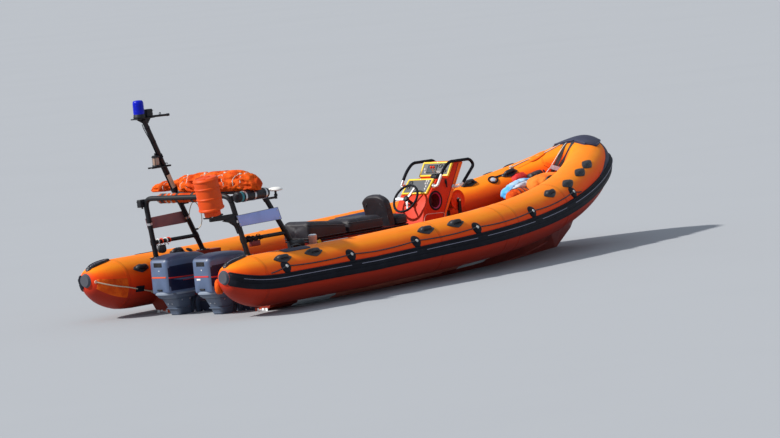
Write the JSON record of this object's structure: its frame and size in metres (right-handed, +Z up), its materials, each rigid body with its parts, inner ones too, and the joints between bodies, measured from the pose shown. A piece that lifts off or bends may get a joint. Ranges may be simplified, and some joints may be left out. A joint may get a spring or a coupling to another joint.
{
  "type": "inshore rescue boat",
  "caption": "Rigid inflatable rescue boat afloat, with twin outboards that tilt and steer, console, seat pod, roll bar with mast and righting bag.",
  "frame": {"origin": "on the centreline at the waterline, level with the inside face line of the transom", "axes": "+X forward to the bow, +Y to port, +Z up"},
  "size_m": [7.4212, 2.706, 3.107],
  "materials": {
    "collar": "satin",
    "black_rubber": "matt",
    "hull_laminate": "gloss",
    "board": "satin",
    "line": "matt",
    "console_laminate": "gloss",
    "yellow_panel": "satin",
    "black_frame": "satin",
    "black_plastic": "satin",
    "seat_vinyl": "satin",
    "red_plastic": "satin",
    "board_face": "satin",
    "blue_lens": "gloss",
    "white_plastic": "satin",
    "orange_fabric": "matt",
    "orange_plastic": "satin",
    "engine_paint": "gloss",
    "propeller_steel": "brushed"
  },
  "bodies": {
    "boat": {"tube_port": "collar", "tube_starboard": "collar", "tube_bow": "collar", "cone_cap_port": "black_rubber", "cone_cap_starboard": "black_rubber", "strake_port": "black_rubber", "strake_starboard": "black_rubber", "strake_bow": "black_rubber", "bow_pad": "black_rubber", "hull": "hull_laminate", "transom_board": "board", "lifeline_port": "line", "lifeline_starboard": "line", "console": "console_laminate", "panel_upper": "yellow_panel", "panel_lower": "yellow_panel", "grab_rail_port": "black_frame", "grab_rail_starboard": "black_frame", "throttle": "black_plastic", "seat_pod": "seat_vinyl", "seat_cushion_aft": "seat_vinyl", "seat_cushion_mid": "seat_vinyl", "helm_seat": "seat_vinyl", "backrest": "seat_vinyl", "reel_stand": "black_frame", "aft_hoop": "black_frame", "forward_hoop": "black_frame", "number_board_port": "board_face", "number_board_starboard": "board_face", "mast": "black_frame", "blue_lamp": "blue_lens", "mast_lamp": "white_plastic", "righting_bag": "orange_fabric", "gas_bottle": "orange_fabric", "canister": "black_plastic", "satellite_antenna": "white_plastic", "barrel": "orange_plastic", "bow_bag": "orange_fabric", "engine_clamp_port": "engine_paint", "engine_clamp_starboard": "engine_paint"},
    "helm": {"steering_wheel": "black_plastic"},
    "reel": {"rope_reel": "red_plastic"},
    "swivel_port": {"engine_swivel_port": "engine_paint"},
    "swivel_starboard": {"engine_swivel_starboard": "engine_paint"},
    "engine_port": {"engine_cowl_port": "engine_paint", "engine_leg_port": "engine_paint"},
    "engine_starboard": {"engine_cowl_starboard": "engine_paint", "engine_leg_starboard": "engine_paint"},
    "propeller_port": {"propeller_port": "propeller_steel"},
    "propeller_starboard": {"propeller_starboard": "propeller_steel"}
  },
  "joints": [
    {"name": "helm_turn", "type": "hinge", "parent": "boat", "child": "helm", "pos_m": [2.97791, 0, 0.84393], "axis": [0.8312, 0, -0.5559], "range_deg": [-540, 540]},
    {"name": "reel_spin", "type": "hinge", "parent": "boat", "child": "reel", "pos_m": [3.76, 0, 0.735], "axis": [0, 1, 0], "continuous": true},
    {"name": "port_tilt", "type": "hinge", "parent": "boat", "child": "swivel_port", "pos_m": [-0.14, 0.32, 0.15], "axis": [0, 1, 0], "range_deg": [0, 62]},
    {"name": "port_steer", "type": "hinge", "parent": "swivel_port", "child": "engine_port", "pos_m": [-0.25, 0.32, 0], "axis": [0, 0, 1], "range_deg": [-30, 30]},
    {"name": "port_propeller_spin", "type": "hinge", "parent": "engine_port", "child": "propeller_port", "pos_m": [-0.52, 0.32, -0.6], "axis": [1, 0, 0], "continuous": true},
    {"name": "starboard_tilt", "type": "hinge", "parent": "boat", "child": "swivel_starboard", "pos_m": [-0.14, -0.32, 0.15], "axis": [0, 1, 0], "range_deg": [0, 62]},
    {"name": "starboard_steer", "type": "hinge", "parent": "swivel_starboard", "child": "engine_starboard", "pos_m": [-0.25, -0.32, 0], "axis": [0, 0, 1], "range_deg": [-30, 30]},
    {"name": "starboard_propeller_spin", "type": "hinge", "parent": "engine_starboard", "child": "propeller_starboard", "pos_m": [-0.52, -0.32, -0.6], "axis": [1, 0, 0], "continuous": true}
  ],
  "couplings": [
    {"joint": "starboard_steer", "follows": "port_steer", "ratio": 1},
    {"joint": "helm_turn", "follows": "port_steer", "ratio": 18}
  ]
}
